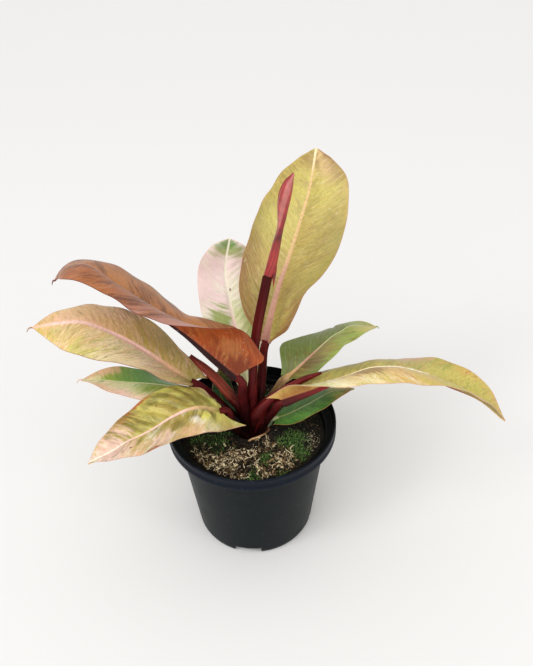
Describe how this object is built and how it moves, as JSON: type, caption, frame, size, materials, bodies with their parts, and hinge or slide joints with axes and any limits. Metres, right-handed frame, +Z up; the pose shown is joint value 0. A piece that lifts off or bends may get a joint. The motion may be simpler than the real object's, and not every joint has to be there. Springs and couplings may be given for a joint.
{
  "type": "potted prince of orange philodendron",
  "caption": "Potted prince of orange philodendron: glossy orange, olive, pink and green oblong leaves on maroon stalks, a rolled red new leaf, potting mix and a round nursery pot.",
  "frame": {"origin": "on the pot's axis, on the plane of the foot ring and hub that the pot stands on", "axes": "+Z up along the pot's axis, +X towards the plant's right as the picture shows it, along the longest spread of the leaves, +Y to the back"},
  "size_m": [0.4033, 0.1845, 0.3368],
  "materials": {
    "pot": "satin moulded charcoal polypropylene",
    "potting_mix": "rough dark potting mix of bark and peat with dried sphagnum moss strands and green moss",
    "stem": "satin dark maroon stem, pale roots",
    "petiole": "glossy dark maroon leaf stalk",
    "cataphyll": "satin crimson bud scale with a browner tip",
    "new_leaf": "glossy crimson rolled new leaf",
    "tall_leaf": "satin olive yellow leaf with brown-orange margins and pale veins",
    "pink_leaf": "satin pale pink leaf with green patches and a white midrib",
    "orange_leaf": "satin rust-orange leaf with a mauve sheen and a maroon midrib",
    "left_leaf": "satin golden peach leaf with green streaks and a broad peach midrib",
    "left_low_leaf": "satin green leaf with cream streaks and a pink margin",
    "front_leaf": "satin yellow-olive leaf with a pink and cream near half",
    "back_right_leaf": "satin mid green leaf with a yellow-orange tip",
    "long_leaf": "satin yellow-olive leaf with a bright cream midrib and peach patches",
    "right_low_leaf": "satin saturated green leaf with a paler midrib",
    "small_back_leaf": "satin dark green leaf"
  },
  "bodies": {
    "root": {"pot": "pot", "potting_mix": "potting_mix", "stem_and_roots": "stem", "new_leaf_sheath": "petiole", "new_leaf": "new_leaf", "right_cataphyll": "cataphyll", "left_cataphyll": "cataphyll", "tall_leaf_blade": "tall_leaf", "tall_leaf_petiole": "petiole", "pink_leaf_blade": "pink_leaf", "pink_leaf_petiole": "petiole", "orange_leaf_blade": "orange_leaf", "orange_leaf_petiole": "petiole", "left_leaf_blade": "left_leaf", "left_leaf_petiole": "petiole", "left_low_leaf_blade": "left_low_leaf", "left_low_leaf_petiole": "petiole", "front_leaf_blade": "front_leaf", "front_leaf_petiole": "petiole", "back_right_leaf_blade": "back_right_leaf", "back_right_leaf_petiole": "petiole", "long_leaf_blade": "long_leaf", "long_leaf_petiole": "petiole", "right_low_leaf_blade": "right_low_leaf", "right_low_leaf_petiole": "petiole", "small_back_leaf_blade": "small_back_leaf", "small_back_leaf_petiole": "petiole"}
  },
  "joints": []
}
